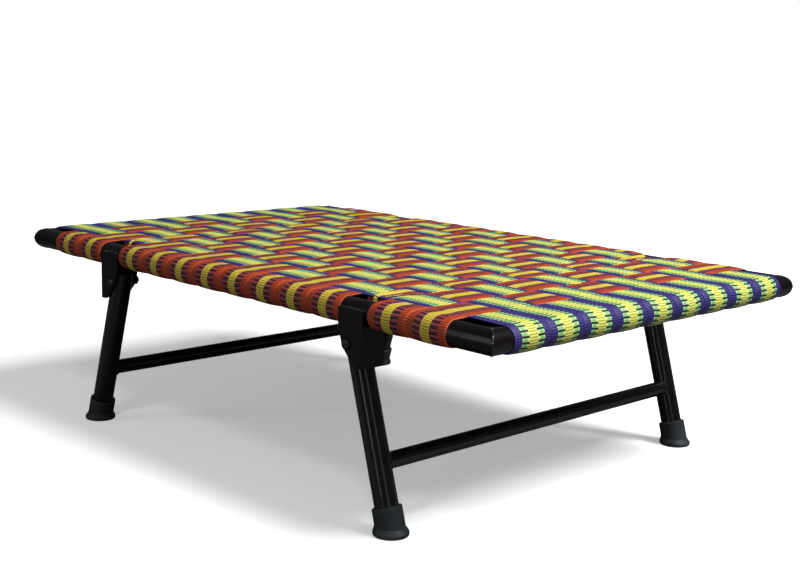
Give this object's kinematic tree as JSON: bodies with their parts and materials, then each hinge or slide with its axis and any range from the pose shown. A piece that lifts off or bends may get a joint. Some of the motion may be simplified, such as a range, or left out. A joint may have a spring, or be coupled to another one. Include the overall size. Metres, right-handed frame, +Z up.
{
  "type": "folding webbing pet bed",
  "caption": "Low raised pet bed: a rectangular steel tube frame woven with broad striped webbing tape, on two splayed tube leg pairs that fold flat under it.",
  "frame": {"origin": "on the floor, under the middle of the bed", "axes": "+X along the bed's length, +Y across it towards the back long rail, +Z up"},
  "size_m": [1.0272, 0.659, 0.2917],
  "materials": {
    "frame_paint": "black powder coat, semi-gloss",
    "bracket_paint": "black powder coat, satin",
    "leg_paint": "black powder coat, semi-gloss",
    "bolt_metal": "blackened steel",
    "foot_rubber": "matt blue-black rubber",
    "cross_webbing": "woven polypropylene tape, orange, maroon and yellow stripes",
    "length_webbing": "woven polypropylene tape, blue, green and yellow stripes"
  },
  "bodies": {
    "frame": {"back_rail": "frame_paint", "bracket_back_left": "bracket_paint", "bracket_back_right": "bracket_paint", "bracket_front_left": "bracket_paint", "bracket_front_right": "bracket_paint", "cross_tape_01": "cross_webbing", "cross_tape_02": "cross_webbing", "cross_tape_03": "cross_webbing", "cross_tape_04": "cross_webbing", "cross_tape_05": "cross_webbing", "cross_tape_06": "cross_webbing", "cross_tape_07": "cross_webbing", "cross_tape_08": "cross_webbing", "cross_tape_09": "cross_webbing", "cross_tape_10": "cross_webbing", "cross_tape_11": "cross_webbing", "cross_tape_12": "cross_webbing", "cross_tape_returns": "cross_webbing", "cross_tape_wraps_back": "cross_webbing", "cross_tape_wraps_front": "cross_webbing", "front_rail": "frame_paint", "gap_tape_ends": "cross_webbing", "gap_tape_left": "cross_webbing", "gap_tape_right": "cross_webbing", "left_rail": "frame_paint", "length_tape_01": "length_webbing", "length_tape_02": "length_webbing", "length_tape_03": "length_webbing", "length_tape_04": "length_webbing", "length_tape_05": "length_webbing", "length_tape_06": "length_webbing", "length_tape_07": "length_webbing", "length_tape_08": "length_webbing", "length_tape_09": "length_webbing", "length_tape_returns": "length_webbing", "length_tape_wraps_left": "length_webbing", "length_tape_wraps_right": "length_webbing", "pivot_bolts": "bolt_metal", "pivot_nuts": "bolt_metal", "right_rail": "frame_paint"},
    "left_legs": {"leg_front_left": "leg_paint", "leg_back_left": "leg_paint", "crossbar_left": "leg_paint", "foot_front_left": "foot_rubber", "foot_back_left": "foot_rubber"},
    "right_legs": {"leg_front_right": "leg_paint", "leg_back_right": "leg_paint", "crossbar_right": "leg_paint", "foot_front_right": "foot_rubber", "foot_back_right": "foot_rubber"}
  },
  "joints": [
    {"name": "left_legs_fold", "type": "hinge", "parent": "frame", "child": "left_legs", "pos_m": [-0.271, 0, 0.233], "axis": [0, -1, 0], "range_deg": [0, 104]},
    {"name": "right_legs_fold", "type": "hinge", "parent": "frame", "child": "right_legs", "pos_m": [0.271, 0, 0.233], "axis": [0, 1, 0], "range_deg": [0, 104]}
  ]
}
